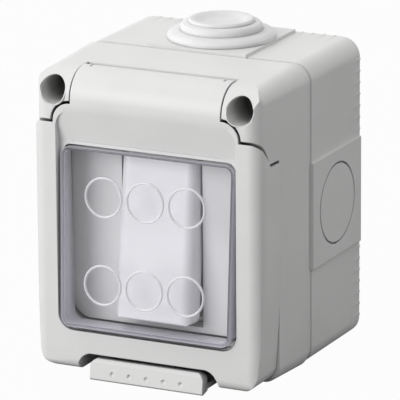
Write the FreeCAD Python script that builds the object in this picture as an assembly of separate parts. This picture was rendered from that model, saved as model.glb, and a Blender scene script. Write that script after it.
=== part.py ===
# Outdoor weatherproof switch: a surface-mounted wall box, a fixed front cover with a hinged
# lid and a clear press-through window, and one wide rocker switch behind it.
# Millimetres. X to the right, +Y into the wall, +Z up. The wall plane is Y = 0 and the box's
# middle height is Z = 0. Depths with "depth" in their name count back from the front plane.
import FreeCAD, Part
import math
import os

from FreeCAD import Vector as V

# Rear box
BOX_W = 66.0
BOX_H = 82.0
BOX_DEPTH = 33.1
BOX_WALL = 2.2
BOX_FLOOR = 2.4
BOX_CORNER_R = 5.0
RIM_BAND = 2.3
RIM_INSET = 0.25
PAD_SIDE = 29.0
PAD_PROUD = 0.75
PAD_START = 1.9
PAD_LENGTH = 30.5
ENTRY_R = 11.1
ENTRY_GROOVE = 0.5
ENTRY_GROOVE_DEPTH = 0.8
RIB_PITCH = 3.17
RIB_PROUD = 0.25
RIB_LENGTH = 15.0
FIXING_SPACING = 60.0
FIXING_SLOT_R = 2.2
FIXING_SLOT_LENGTH = 7.4

# Front cover
COVER_DEPTH = 28.6
COVER_WALL = 2.2
COVER_DRAFT = 1.25
COVER_RIM_GROWTH = 0.3
LEDGE_DEPTH = 12.0
LEDGE_WALL = 2.2
PLATFORM_DEPTH = 9.8
PLATFORM_HALF_W = 26.4
PLATFORM_TOP = 22.9
PLATFORM_BOTTOM = -28.8
PLATFORM_CORNER_R = 5.0
PLATFORM_WALL = 2.0
TOP_EDGE_R = 8.0
BOTTOM_EDGE_R = 3.0
SIDE_EDGE_R = 4.0

# Cover screws
SCREW_X = 26.9
SCREW_Z = 34.8
WELL_R = 3.8
WELL_DEPTH = 20.0
SCREW_HEAD_R = 3.4
SCREW_HEAD_H = 2.4
SCREW_R = 2.0
SCREW_LENGTH = 20.0
SCREW_CLEARANCE = 0.25
BOSS_WALL = 1.6

# Lid
LID_TOP_Z = 40.6
LID_BOTTOM_Z = -40.4
LID_WALL = 2.0
LID_HALF_TOP = 32.6
LID_HALF_MID = 33.2
LID_MID_Z = 5.0
LID_HALF_BOTTOM = 31.7
LID_LOWER_Z = -36.0
LID_CORNER_R = 5.5
FLAP_HALF_W = 21.6
SHOULDER_R = 4.85
SHOULDER_Z = 27.0
EAR_GAP = 0.75
EAR_SIDE_Z = 20.0
EAR_SIDE_DEPTH = 6.5
HINGE_DEPTH = 8.55
BARREL_R = 2.35
PIN_R = 1.2
PIN_LENGTH = 1.7
PIN_CLEARANCE = 0.05
HINGE_GAP = 0.35
LID_GAP = 0.25
SLIT_X = 19.0
SLIT_W = 0.5
SLIT_LENGTH = 3.6

# Window membrane
WINDOW_HALF_W = 24.9
WINDOW_TOP = 21.2
WINDOW_BOTTOM = -29.2
WINDOW_CORNER_R = 4.0
WINDOW_GAP = 0.25
WINDOW_FACE_DEPTH = 0.9
WINDOW_TILT = 1.5
WINDOW_SKIN = 0.8
WINDOW_EDGE = 0.9
FLANGE_DEPTH = 4.3
FLANGE_T = 1.2
FLANGE_LIP = 1.6
RECESS_TOP = 29.5
RECESS_HALF_W = 25.95
RECESS_TOP_DEPTH = 2.1
RECESS_LOW_DEPTH = 1.7
RECESS_GAP = 0.4
DOME_PITCH_X = 12.2
DOME_PITCH_Z = 23.6
DOME_R = 5.2
DOME_H = 0.75

# Lid skirt and seal
SKIRT_HALF_W = 27.0
SKIRT_TOP = 23.5
SKIRT_BOTTOM = -29.9
SKIRT_WALL = 1.4
SKIRT_END_DEPTH = 11.4
SEAL_W = 2.2
SEAL_PROUD = 0.3
SEAL_GROOVE = 1.2

# Latch
LATCH_HALF_W = 16.4
LATCH_TOP = -36.5
LATCH_BOTTOM = -42.2
LATCH_T = 2.3
ARM_TOP = -39.7
ARM_BOTTOM = -41.2
LATCH_PIN_DEPTH = 16.5
LATCH_PIN_Z = -38.9
LATCH_PIN_R = 0.9
LATCH_BARREL_R = 2.0
LATCH_GAP = 0.4
LATCH_TAIL = 5.5
LATCH_ROOF = 1.4
LATCH_CHEEK = 2.9
LATCH_PIN_SEAT = 2.4
NOTCH_TOP = -35.4
NOTCH_HALF_TOP = 16.9
NOTCH_HALF_LOW = 20.3
NOTCH_KNEE_Z = -38.7
NOTCH_BULGE = 0.5
NOTCH_WALL = 1.4
CATCH_HALF_W = 5.0
CATCH_DEPTH = 9.2
CATCH_T = 1.6
CATCH_DROP = 0.8
CATCH_PLAY = 0.6
DIMPLE_PITCH = 5.0
DIMPLE_R = 0.75
DIMPLE_DEPTH = 0.6
DIMPLE_Z = -40.0

# Switch mechanism
KEY_W = 22.4
KEY_H = 45.0
KEY_Z = -3.9
KEY_FACE_DEPTH = 5.3
KEY_RIM_DEPTH = 10.8
KEY_WALL = 1.4
KEY_TILT = 6.6
KEY_EDGE_R = 3.0
KEY_AXIS_DEPTH = 12.5
APERTURE_HALF_W = 11.65
APERTURE_HALF_H = 23.4
LUG_X = 5.0
LUG_T = 2.4
LUG_R = 2.2
TRUNNION_R = 1.2
TRUNNION_LENGTH = 1.8
POST_T = 1.6
POST_GAP = 0.3
DECK_DEPTH = 14.6
HOUSING_SPLIT_DEPTH = 20.5
HOUSING_BACK_DEPTH = 36.0
HOUSING_W = 22.0
HOUSING_H = 44.6
HOUSING_FLANGE_W = 26.0
HOUSING_FLANGE_H = 50.0
HOUSING_FLANGE_T = 1.6
POCKET_HALF_W = 7.75
POCKET_HALF_H = 9.0
STEM_R = 2.3
STEM_BORE_R = 1.5
STEM_END_DEPTH = 18.2
PLUNGER_R = 1.4
PLUNGER_TIP_DEPTH = 22.25
PLUNGER_LENGTH = 5.0
CONTACT_AXIS_DEPTH = 23.0
CONTACT_TILT = 5.0
CONTACT_LENGTH = 14.0
CONTACT_W = 5.0
CONTACT_T = 0.8
CONTACT_PIN_R = 0.6
CONTACT_GAP = 0.45

# Mounting frame
FRAME_DEPTH = 16.0
FRAME_T = 2.0
FRAME_W = 42.0
FRAME_H = 58.0
FRAME_SCREW_X = 17.0
FRAME_SCREW_Z = 24.0
POST_R = 2.6

FRONT_Y = -(BOX_DEPTH + COVER_DEPTH)
PART_Y = -BOX_DEPTH
HINGE_Z = LID_TOP_Z - BARREL_R


def at(depth):
    """Y of a plane that lies this far behind the front plane."""
    return FRONT_Y + depth


def box(x0, x1, y0, y1, z0, z1):
    return Part.makeBox(x1 - x0, y1 - y0, z1 - z0, V(x0, y0, z0))


def rod_x(radius, x0, x1, y, z):
    return Part.makeCylinder(radius, x1 - x0, V(x0, y, z), V(1, 0, 0))


def rod_y(radius, y0, y1, x, z):
    return Part.makeCylinder(radius, y1 - y0, V(x, y0, z), V(0, 1, 0))


def rod_z(radius, z0, z1, x, y):
    return Part.makeCylinder(radius, z1 - z0, V(x, y, z0), V(0, 0, 1))


def rounded_wire(half_w, z0, z1, radius, y):
    """A rounded rectangle in the plane Y = y, symmetric about X = 0."""
    r = radius
    c = r * math.sqrt(0.5)
    w = half_w
    lines = [((-w + r, z0), (w - r, z0)), ((w, z0 + r), (w, z1 - r)),
             ((w - r, z1), (-w + r, z1)), ((-w, z1 - r), (-w, z0 + r))]
    arcs = [((w - r + c, z0 + r - c),), ((w - r + c, z1 - r + c),),
            ((-w + r - c, z1 - r + c),), ((-w + r - c, z0 + r - c),)]
    edges = []
    for i, (a, b) in enumerate(lines):
        nxt = lines[(i + 1) % 4][0]
        m = arcs[i][0]
        edges.append(Part.makeLine(V(a[0], y, a[1]), V(b[0], y, b[1])))
        edges.append(Part.Arc(V(b[0], y, b[1]), V(m[0], y, m[1]), V(nxt[0], y, nxt[1])).toShape())
    return Part.Wire(edges)


def rounded_prism(half_w, z0, z1, radius, y0, y1):
    face = Part.Face(rounded_wire(half_w, z0, z1, radius, y0))
    return face.extrude(V(0, y1 - y0, 0))


def side_profile(points, x0, x1):
    """A prism along X from (y, z) points; a third value marks the middle point of an arc."""
    edges = []
    n = len(points)
    i = 0
    while i < n:
        a = points[i]
        b = points[(i + 1) % n]
        if len(b) == 3:
            c = points[(i + 2) % n]
            edges.append(Part.Arc(V(x0, a[0], a[1]), V(x0, b[0], b[1]), V(x0, c[0], c[1])).toShape())
            i += 2
        else:
            edges.append(Part.makeLine(V(x0, a[0], a[1]), V(x0, b[0], b[1])))
            i += 1
    return Part.Face(Part.Wire(edges)).extrude(V(x1 - x0, 0, 0))


def front_profile(points, y0, y1):
    """A prism along Y from (x, z) points; a third value marks the middle point of an arc."""
    edges = []
    n = len(points)
    i = 0
    while i < n:
        a = points[i]
        b = points[(i + 1) % n]
        if len(b) == 3:
            c = points[(i + 2) % n]
            edges.append(Part.Arc(V(a[0], y0, a[1]), V(b[0], y0, b[1]), V(c[0], y0, c[1])).toShape())
            i += 2
        else:
            edges.append(Part.makeLine(V(a[0], y0, a[1]), V(b[0], y0, b[1])))
            i += 1
    return Part.Face(Part.Wire(edges)).extrude(V(0, y1 - y0, 0))


def mirror_x(shape):
    return shape.mirror(V(0, 0, 0), V(1, 0, 0))


def turned(shape, degrees, y, z):
    """The shape turned about an X axis through (y, z)."""
    s = shape.copy()
    s.rotate(V(0, y, z), V(1, 0, 0), degrees)
    return s


def front_rounding(top, bottom, inset, depth, grow=0.0):
    """The side view of the front: a large radius at the top, a small one at the bottom."""
    r = TOP_EDGE_R - inset
    b = max(BOTTOM_EDGE_R - inset, 0.5)
    y0 = at(inset)
    t = top - inset
    u = bottom + inset
    k = math.sqrt(0.5)
    return side_profile([(y0, u + b), (y0, t - r), (y0 + r - r * k, t - r + r * k, 1), (y0 + r, t),
                         (at(depth), t + grow), (at(depth), u), (y0 + b, u),
                         (y0 + b - b * k, u + b - b * k, 1)], -BOX_W, BOX_W)


def side_rounding(half_w, inset, depth, grow=0.0):
    """The top view of the front: both front corners rounded."""
    r = SIDE_EDGE_R - inset
    w = half_w - inset
    y0 = at(inset)
    y1 = at(depth)
    k = r - r * math.sqrt(0.5)
    z = -BOX_H
    edges = [Part.makeLine(V(-w + r, y0, z), V(w - r, y0, z)),
             Part.Arc(V(w - r, y0, z), V(w - k, y0 + k, z), V(w, y0 + r, z)).toShape(),
             Part.makeLine(V(w, y0 + r, z), V(w + grow, y1, z)),
             Part.makeLine(V(w + grow, y1, z), V(-w - grow, y1, z)),
             Part.makeLine(V(-w - grow, y1, z), V(-w, y0 + r, z)),
             Part.Arc(V(-w, y0 + r, z), V(-w + k, y0 + k, z), V(-w + r, y0, z)).toShape()]
    return Part.Face(Part.Wire(edges)).extrude(V(0, 0, 2 * BOX_H))


def screw_places():
    return [(sx * SCREW_X, sz * SCREW_Z) for sx in (-1, 1) for sz in (-1, 1)]


# Rear box

def entry_ring(x, y, z, axis):
    """The thin round line of a knock-out entry, cut into a pad's outer face."""
    outer = Part.makeCylinder(ENTRY_R, ENTRY_GROOVE_DEPTH, V(x, y, z), axis)
    inner = Part.makeCylinder(ENTRY_R - ENTRY_GROOVE, ENTRY_GROOVE_DEPTH, V(x, y, z), axis)
    return outer.cut(inner)


def pad_middle_y():
    return PART_Y + PAD_START + PAD_LENGTH / 2.0


def pads():
    """Four raised square pads, one in the middle of each wall."""
    y0 = PART_Y + PAD_START
    y1 = y0 + PAD_LENGTH
    h = PAD_SIDE / 2.0
    w = BOX_W / 2.0
    t = BOX_H / 2.0
    sink = BOX_WALL / 2.0
    out = [box(w - sink, w + PAD_PROUD, y0, y1, -h, h),
           box(-w - PAD_PROUD, -w + sink, y0, y1, -h, h),
           box(-h, h, y0, y1, t - sink, t + PAD_PROUD),
           box(-h, h, y0, y1, -t - PAD_PROUD, -t + sink)]
    return out


def rib_prism(offset, on_side, sign):
    """One moulded rib on the outside of a wall: full at the back, fading out forwards."""
    half = RIB_PITCH * 0.28
    y_back = 0.0
    y_front = -RIB_LENGTH
    if on_side:
        w = sign * BOX_W / 2.0
        tip = V(w, y_front, offset)
        a = V(w - sign * 0.3, y_back, offset - half)
        m = V(w + sign * RIB_PROUD, y_back, offset)
        b = V(w - sign * 0.3, y_back, offset + half)
    else:
        t = sign * BOX_H / 2.0
        tip = V(offset, y_front, t)
        a = V(offset - half, y_back, t - sign * 0.3)
        m = V(offset, y_back, t + sign * RIB_PROUD)
        b = V(offset + half, y_back, t - sign * 0.3)
    base = Part.Wire([Part.makeLine(a, m), Part.makeLine(m, b), Part.makeLine(b, a)])
    inward = V(-sign * 0.3, 0, 0) if on_side else V(0, 0, -sign * 0.3)
    faces = [Part.Face(base)]
    low = tip + inward
    for p, q in ((a, m), (m, b), (b, a)):
        faces.append(Part.Face(Part.makePolygon([p, q, low, p])))
    return Part.makeSolid(Part.makeShell(faces))


def rib_offsets(half_span):
    """Places of the ribs beside a pad, out to the corner's rounding."""
    first = PAD_SIDE / 2.0 + RIB_PITCH * 0.6
    n = int((half_span - BOX_CORNER_R - first) / RIB_PITCH) + 1
    out = []
    for i in range(n):
        out.append(first + i * RIB_PITCH)
        out.append(-first - i * RIB_PITCH)
    return out


def make_rear_box():
    w = BOX_W / 2.0
    t = BOX_H / 2.0
    y_band = PART_Y + RIM_BAND
    body = rounded_prism(w, -t, t, BOX_CORNER_R, y_band, 0.0)
    band = rounded_prism(w - RIM_INSET, -t + RIM_INSET, t - RIM_INSET, BOX_CORNER_R - RIM_INSET,
                         PART_Y, y_band)
    body = body.fuse(band)
    ribs = [rib_prism(o, True, s) for o in rib_offsets(t) for s in (-1, 1)]
    ribs += [rib_prism(o, False, s) for o in rib_offsets(w) for s in (-1, 1)]
    body = body.fuse(pads() + ribs)
    hollow = rounded_prism(w - BOX_WALL, -t + BOX_WALL, t - BOX_WALL, BOX_CORNER_R - BOX_WALL,
                           PART_Y, -BOX_FLOOR)
    body = body.cut(hollow)
    # a stepped seat inside the rim carries the seal
    seat = rounded_prism(w - BOX_WALL + 0.9, -t + BOX_WALL - 0.9, t - BOX_WALL + 0.9,
                         BOX_CORNER_R - BOX_WALL + 0.9, PART_Y, PART_Y + SEAL_GROOVE)
    body = body.cut(seat)
    boss_r = SCREW_R + BOSS_WALL
    inner = rounded_prism(w - 0.5, -t + 0.5, t - 0.5, BOX_CORNER_R - 0.5, PART_Y, -0.5)
    for x, z in screw_places():
        boss = rod_y(boss_r, PART_Y + SEAL_GROOVE, -BOX_FLOOR / 2.0, x, z)
        web_x = box(min(x, math.copysign(w - 1.0, x)), max(x, math.copysign(w - 1.0, x)),
                    PART_Y + SEAL_GROOVE + 3.0, -BOX_FLOOR / 2.0, z - 0.7, z + 0.7)
        web_z = box(x - 0.7, x + 0.7, PART_Y + SEAL_GROOVE + 3.0, -BOX_FLOOR / 2.0,
                    min(z, math.copysign(t - 1.0, z)), max(z, math.copysign(t - 1.0, z)))
        body = body.fuse(boss.fuse([web_x, web_z]).common(inner))
    pilot_r = SCREW_R + PIN_CLEARANCE
    y_tip = at(WELL_DEPTH) + SCREW_LENGTH
    for x, z in screw_places():
        body = body.cut(rod_y(pilot_r, PART_Y, y_tip + 1.5, x, z))
    ym = pad_middle_y()
    body = body.cut(rod_z(ENTRY_R, t - BOX_WALL - 1.0, t + PAD_PROUD + 1.0, 0, ym))
    side = w + PAD_PROUD
    low = t + PAD_PROUD
    body = body.cut(entry_ring(side, ym, 0, V(-1, 0, 0)))
    body = body.cut(entry_ring(-side, ym, 0, V(1, 0, 0)))
    body = body.cut(entry_ring(0, ym, -low, V(0, 0, 1)))
    for s in (-1, 1):
        body = body.cut(fixing_slot(s * FIXING_SPACING / 2.0))
    return body


def fixing_slot(z):
    r = FIXING_SLOT_R
    a = FIXING_SLOT_LENGTH / 2.0 - r
    y0 = -BOX_FLOOR - 0.5
    parts = [rod_y(r, y0, 0.5, 0, z - a), rod_y(r, y0, 0.5, 0, z + a), box(-r, r, y0, 0.5, z - a, z + a)]
    return parts[0].fuse(parts[1:])


def make_box_seal():
    """Ring seal between the rear box and the front cover."""
    w = BOX_W / 2.0 - BOX_WALL + 0.9
    t = BOX_H / 2.0 - BOX_WALL + 0.9
    r = BOX_CORNER_R - BOX_WALL + 0.9
    gap = 0.05
    outer = rounded_prism(w - gap, -t + gap, t - gap, r - gap, PART_Y + 0.02, PART_Y + SEAL_GROOVE)
    inner = rounded_prism(w - 1.5, -t + 1.5, t - 1.5, r - 1.5, PART_Y - 1, PART_Y + SEAL_GROOVE + 1)
    return outer.cut(inner)


def make_grommet():
    """Stepped rubber cable seal pushed into the top entry."""
    top = BOX_H / 2.0 + PAD_PROUD
    hole = ENTRY_R
    inside = BOX_H / 2.0 - BOX_WALL
    pts = [(0, top + 3.9), (5.2, top + 4.1), (7.6, top + 5.2), (8.4, top + 5.15), (8.85, top + 4.7),
           (8.9, top + 4.3), (9.4, top + 4.25), (10.4, top + 4.0), (10.9, top + 3.4), (11.0, top + 2.25),
           (11.8, top + 2.15), (13.7, top + 1.7), (14.4, top + 1.0), (14.5, top + 0.02),
           (hole - 0.05, top + 0.02), (hole - 0.05, inside), (hole + 0.9, inside - 0.3),
           (hole + 0.9, inside - 1.2), (hole - 0.6, inside - 2.4), (hole - 2.2, inside - 2.4),
           (hole - 2.2, top + 0.8), (7.5, top + 2.9), (0, top + 2.7)]
    edges = []
    ym = pad_middle_y()
    for a, b in zip(pts, pts[1:] + pts[:1]):
        edges.append(Part.makeLine(V(a[0], ym, a[1]), V(b[0], ym, b[1])))
    face = Part.Face(Part.Wire(edges))
    return face.revolve(V(0, ym, 0), V(0, 0, 1), 360)


# Front cover

def drafted_block(half_w, half_h, radius, draft, y_rear, length):
    """A block that widens evenly towards its rear: drafted flat sides and conical corners."""
    cx = half_w - radius
    cz = half_h - radius
    y_front = y_rear - length
    parts = []
    for sx in (-1, 1):
        for sz in (-1, 1):
            parts.append(Part.makeCone(radius - draft, radius, length, V(sx * cx, y_front, sz * cz), V(0, 1, 0)))
    wide = [V(-half_w + draft, y_front, -cz), V(half_w - draft, y_front, -cz),
            V(half_w, y_rear, -cz), V(-half_w, y_rear, -cz)]
    parts.append(Part.Face(Part.makePolygon(wide + wide[:1])).extrude(V(0, 0, 2 * cz)))
    tall = [V(-cx, y_front, -half_h + draft), V(-cx, y_front, half_h - draft),
            V(-cx, y_rear, half_h), V(-cx, y_rear, -half_h)]
    parts.append(Part.Face(Part.makePolygon(tall + tall[:1])).extrude(V(2 * cx, 0, 0)))
    return parts[0].fuse(parts[1:]).removeSplitter()


def cover_half_w():
    return BOX_W / 2.0 + COVER_RIM_GROWTH


def cover_half_h():
    return BOX_H / 2.0 + COVER_RIM_GROWTH


def cover_outer():
    """Drafted outer form of the front cover, with rounded front edges."""
    rw = cover_half_w()
    rh = cover_half_h()
    block = drafted_block(rw, rh, BOX_CORNER_R + COVER_RIM_GROWTH, COVER_DRAFT, PART_Y, COVER_DEPTH)
    top = rh - COVER_DRAFT * (1.0 - TOP_EDGE_R / COVER_DEPTH)
    side = rw - COVER_DRAFT * (1.0 - SIDE_EDGE_R / COVER_DEPTH)
    block = block.common(front_rounding(top, -BOX_H, 0.0, COVER_DEPTH + 1.0, COVER_DRAFT * 2.0))
    return block.common(side_rounding(side, 0.0, COVER_DEPTH + 1.0, COVER_DRAFT * 2.0))


def ear_region():
    """Space of the two fixed ears in front of the ledge, left and right of the lid's flap."""
    x_in = FLAP_HALF_W + HINGE_GAP
    r = SHOULDER_R + EAR_GAP
    cx = FLAP_HALF_W + 0.25
    k = r * math.sqrt(0.5)
    x_side = cx + r
    z0 = SHOULDER_Z
    upper = front_profile([(x_in, BOX_H), (x_in, z0 + r), (cx, z0 + r), (cx + k, z0 + k, 1),
                           (x_side, z0), (x_side, z0 + 0.4), (BOX_W, z0 + 0.4), (BOX_W, BOX_H)],
                          at(-1), at(LEDGE_DEPTH + 0.1))
    z1 = SHOULDER_Z + 0.4
    lower = side_profile([(at(-1), z1 + 1.0), (at(-1), z1), (at(0.4), z1 - 0.2),
                          (at(3.6), z1 - 2.4, 1), (at(EAR_SIDE_DEPTH), EAR_SIDE_Z),
                          (at(LEDGE_DEPTH + 0.1), EAR_SIDE_Z), (at(LEDGE_DEPTH + 0.1), z1 + 1.0)],
                         x_side, BOX_W)
    ear = upper.fuse(lower)
    return ear.fuse(mirror_x(ear))


def hinge_trough(radius, half_w):
    return rod_x(radius, -half_w, half_w, at(HINGE_DEPTH), HINGE_Z)


def make_front_cover():
    outer = cover_outer()
    base = outer.common(box(-BOX_W, BOX_W, at(LEDGE_DEPTH), PART_Y, -BOX_H, BOX_H))
    x_in = FLAP_HALF_W + HINGE_GAP
    rail = outer.common(box(-x_in - 0.1, x_in + 0.1, at(HINGE_DEPTH + BARREL_R + HINGE_GAP),
                            at(LEDGE_DEPTH + 0.1), HINGE_Z - 2.0, BOX_H))
    ears = outer.common(ear_region())
    platform = rounded_prism(PLATFORM_HALF_W, PLATFORM_BOTTOM, PLATFORM_TOP, PLATFORM_CORNER_R,
                             at(PLATFORM_DEPTH), at(LEDGE_DEPTH + 0.1))
    solid = base.fuse([rail, ears, platform])
    # hollow behind the ledge and behind the platform
    y_in = at(LEDGE_DEPTH + LEDGE_WALL)
    inside = PART_Y - y_in
    hollow = drafted_block(cover_half_w() - COVER_WALL, cover_half_h() - COVER_WALL,
                           BOX_CORNER_R + COVER_RIM_GROWTH - COVER_WALL / 2.0,
                           COVER_DRAFT * inside / COVER_DEPTH, PART_Y, inside)
    hollow = hollow.fuse(rounded_prism(PLATFORM_HALF_W - PLATFORM_WALL, PLATFORM_BOTTOM + PLATFORM_WALL,
                                       PLATFORM_TOP - PLATFORM_WALL, PLATFORM_CORNER_R - PLATFORM_WALL,
                                       at(PLATFORM_DEPTH + PLATFORM_WALL), y_in + 0.1))
    body = solid.cut(hollow)
    # screw columns and their wells
    columns = [rod_y(WELL_R + BOSS_WALL, at(LEDGE_DEPTH + 0.5), PART_Y, x, z) for x, z in screw_places()]
    columns = [c.common(outer) for c in columns]
    post_y = at(PLATFORM_DEPTH + PLATFORM_WALL / 2.0)
    frame_posts = [rod_y(POST_R, post_y, at(FRAME_DEPTH), x, z).common(solid) for x, z in frame_screw_places()]
    body = body.fuse(columns + frame_posts + [latch_housing().common(outer)])
    for x, z in screw_places():
        body = body.cut(rod_y(WELL_R, at(-1), at(WELL_DEPTH), x, z))
        body = body.cut(rod_y(SCREW_R + SCREW_CLEARANCE, at(WELL_DEPTH - 1), PART_Y + 1, x, z))
    for x, z in frame_screw_places():
        body = body.cut(rod_y(1.05, at(FRAME_DEPTH) - 3.6, at(FRAME_DEPTH) + 1, x, z))
    # aperture for the switch key
    aperture = box(-APERTURE_HALF_W, APERTURE_HALF_W, at(PLATFORM_DEPTH - 1), at(LEDGE_DEPTH + LEDGE_WALL + 1),
                   KEY_Z - APERTURE_HALF_H, KEY_Z + APERTURE_HALF_H)
    body = body.cut(aperture)
    # room for the lid's hinge barrel and the pivot bores in the ears
    body = body.cut(hinge_trough(BARREL_R + HINGE_GAP, x_in))
    bore = PIN_R + PIN_CLEARANCE
    bore_end = FLAP_HALF_W + PIN_LENGTH + 0.3
    for s in (-1, 1):
        x0, x1 = sorted((s * (x_in - 0.5), s * bore_end))
        body = body.cut(rod_x(bore, x0, x1, at(HINGE_DEPTH), HINGE_Z))
    body = body.cut(seal_ring(0.0, SEAL_GROOVE))
    body = body.cut(latch_room())
    return body


def seal_ring(proud, depth):
    """Ring around the platform; the groove has no proud part."""
    half = SKIRT_HALF_W + SKIRT_WALL / 2.0
    z0 = SKIRT_BOTTOM - SKIRT_WALL / 2.0
    z1 = SKIRT_TOP + SKIRT_WALL / 2.0
    e = SEAL_W / 2.0
    r = PLATFORM_CORNER_R + 1.0
    y0 = at(LEDGE_DEPTH) - proud - (0.5 if proud == 0 else 0.0)
    y1 = at(LEDGE_DEPTH) + depth
    outer = rounded_prism(half + e, z0 - e, z1 + e, r + e, y0, y1)
    inner = rounded_prism(half - e, z0 + e, z1 - e, r - e, y0 - 1, y1 + 1)
    return outer.cut(inner)


def make_lid_seal():
    return seal_ring(SEAL_PROUD, SEAL_GROOVE)


def make_cover_screws():
    out = []
    for x, z in screw_places():
        y0 = at(WELL_DEPTH)
        head = rod_y(SCREW_HEAD_R, y0 - SCREW_HEAD_H, y0, x, z)
        slot = box(x - 0.5, x + 0.5, y0 - SCREW_HEAD_H - 1, y0 - SCREW_HEAD_H + 1.1, z - 2.3, z + 2.3)
        cross = box(x - 2.3, x + 2.3, y0 - SCREW_HEAD_H - 1, y0 - SCREW_HEAD_H + 1.1, z - 0.5, z + 0.5)
        shank = rod_y(SCREW_R, y0 - 0.1, y0 + SCREW_LENGTH, x, z)
        out.append(head.cut(slot.fuse(cross)).fuse(shank))
    return Part.makeCompound(out)


# Lid

def lid_outline(inset):
    """Front view of the lid, slightly barrelled at the sides; its flap reaches the top."""
    top = LID_TOP_Z - inset
    low = LID_BOTTOM_Z + inset
    flap = FLAP_HALF_W - inset
    zs = SHOULDER_Z - inset
    r = SHOULDER_R
    cx = FLAP_HALF_W + 0.25 - inset
    k = r * math.sqrt(0.5)
    c = LID_CORNER_R - inset * 0.5
    xt = LID_HALF_TOP - inset
    xm = LID_HALF_MID - inset
    xb = LID_HALF_BOTTOM - inset
    zl = LID_LOWER_Z + inset
    q = math.sqrt(0.5)
    return [(flap, top), (flap, zs + r), (cx, zs + r), (cx + k, zs + k, 1), (cx + r, zs), (xt, zs),
            (xm, LID_MID_Z, 1), (xb, zl),
            (xb - c + c * q, low + c - c * q, 1), (xb - c, low), (-xb + c, low),
            (-xb + c - c * q, low + c - c * q, 1), (-xb, zl),
            (-xm, LID_MID_Z, 1), (-xt, zs), (-cx - r, zs), (-cx - k, zs + k, 1), (-cx, zs + r),
            (-flap, zs + r), (-flap, top)]


def lid_block(inset, depth):
    y0 = at(inset)
    block = front_profile(lid_outline(inset), y0, at(depth))
    block = block.common(front_rounding(LID_TOP_Z, LID_BOTTOM_Z, inset, depth))
    return block.common(side_rounding(LID_HALF_MID, inset, depth))


def window_tilted(shape):
    """The window leans back at its top."""
    mid = (WINDOW_TOP + WINDOW_BOTTOM) / 2.0
    return turned(shape, -WINDOW_TILT, at(WINDOW_FACE_DEPTH), mid)


def make_lid():
    body = lid_block(0.0, LEDGE_DEPTH - LID_GAP)
    axis_y = at(HINGE_DEPTH)
    # the flap ends in the round hinge barrel
    body = body.cut(box(-BOX_W, BOX_W, axis_y, at(LEDGE_DEPTH + 1), HINGE_Z - 8.0, BOX_H))
    body = body.cut(lid_block(LID_WALL, LEDGE_DEPTH + 1.0))
    body = body.fuse(rod_x(BARREL_R, -FLAP_HALF_W, FLAP_HALF_W, axis_y, HINGE_Z))
    skirt = rounded_prism(SKIRT_HALF_W + SKIRT_WALL, SKIRT_BOTTOM - SKIRT_WALL, SKIRT_TOP + SKIRT_WALL,
                          PLATFORM_CORNER_R + SKIRT_WALL, at(LID_WALL - 0.2), at(SKIRT_END_DEPTH))
    body = body.fuse(skirt)
    cavity = rounded_prism(SKIRT_HALF_W, SKIRT_BOTTOM, SKIRT_TOP, PLATFORM_CORNER_R,
                           at(FLANGE_DEPTH), at(LEDGE_DEPTH + 1))
    body = body.cut(cavity)
    # recess around the window, running out at its top
    low = WINDOW_BOTTOM - RECESS_GAP
    high = WINDOW_TOP + RECESS_GAP
    slope = RECESS_TOP_DEPTH / (RECESS_TOP - high)
    wedge = side_profile([(at(-1), RECESS_TOP + 1.0 / slope), (at(RECESS_TOP_DEPTH), high),
                          (at(RECESS_LOW_DEPTH), low), (at(-1), low)], -RECESS_HALF_W, RECESS_HALF_W)
    shape = rounded_prism(RECESS_HALF_W, low, RECESS_TOP + RECESS_GAP, WINDOW_CORNER_R + RECESS_GAP,
                          at(-2), at(FLANGE_DEPTH))
    body = body.fuse(window_frame_web())
    body = body.cut(wedge.common(shape))
    opening = rounded_prism(WINDOW_HALF_W + WINDOW_GAP, WINDOW_BOTTOM - WINDOW_GAP, WINDOW_TOP + WINDOW_GAP,
                            WINDOW_CORNER_R + WINDOW_GAP, at(-3), at(FLANGE_DEPTH + 3))
    body = body.cut(window_tilted(opening))
    body = body.fuse(notch(NOTCH_WALL).common(lid_block(0.0, SKIRT_END_DEPTH)))
    body = body.cut(notch(0.0))
    body = body.fuse(lid_catch())
    # room for the fixed ears' side parts, the hinge sweep and the snap-in slits
    body = body.cut(lid_clearance())
    for s in (-1, 1):
        x0, x1 = sorted((s * (FLAP_HALF_W - 0.4), s * (FLAP_HALF_W + PIN_LENGTH)))
        body = body.fuse(rod_x(PIN_R, x0, x1, axis_y, HINGE_Z))
        x0, x1 = sorted((s * SLIT_X, s * (SLIT_X + SLIT_W)))
        slit_y = at(HINGE_DEPTH + BARREL_R)
        body = body.cut(box(x0, x1, slit_y - SLIT_LENGTH, slit_y + 1, HINGE_Z - BARREL_R - 1, BOX_H))
    return body


def window_frame_web():
    """The lid's front wall thickened around the window so that the recess has a floor."""
    outer = rounded_prism(SKIRT_HALF_W + 0.2, SKIRT_BOTTOM - 0.2, RECESS_TOP + 1.0, PLATFORM_CORNER_R,
                          at(LID_WALL - 0.3), at(FLANGE_DEPTH))
    return outer


def lid_clearance():
    """What the lid leaves free for the ears: their side parts and the sweep about the hinge."""
    z1 = SHOULDER_Z + 0.4
    g = EAR_GAP
    x_side = FLAP_HALF_W + 0.25 + SHOULDER_R
    side = side_profile([(at(-1), BOX_H), (at(-1), z1 - g), (at(0.2), z1 - 0.2 - g),
                         (at(3.0), z1 - 2.9 - g, 1), (at(EAR_SIDE_DEPTH), EAR_SIDE_Z - g),
                         (at(LEDGE_DEPTH + 1), EAR_SIDE_Z - g), (at(LEDGE_DEPTH + 1), BOX_H)],
                        x_side, BOX_W)
    both = side.fuse(ear_sweep())
    return both.fuse(mirror_x(both))


def reach(z):
    """Distance from the hinge axis to the front edge of an ear at height z, with a gap."""
    return math.hypot(HINGE_DEPTH, HINGE_Z - z) + HINGE_GAP


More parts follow.
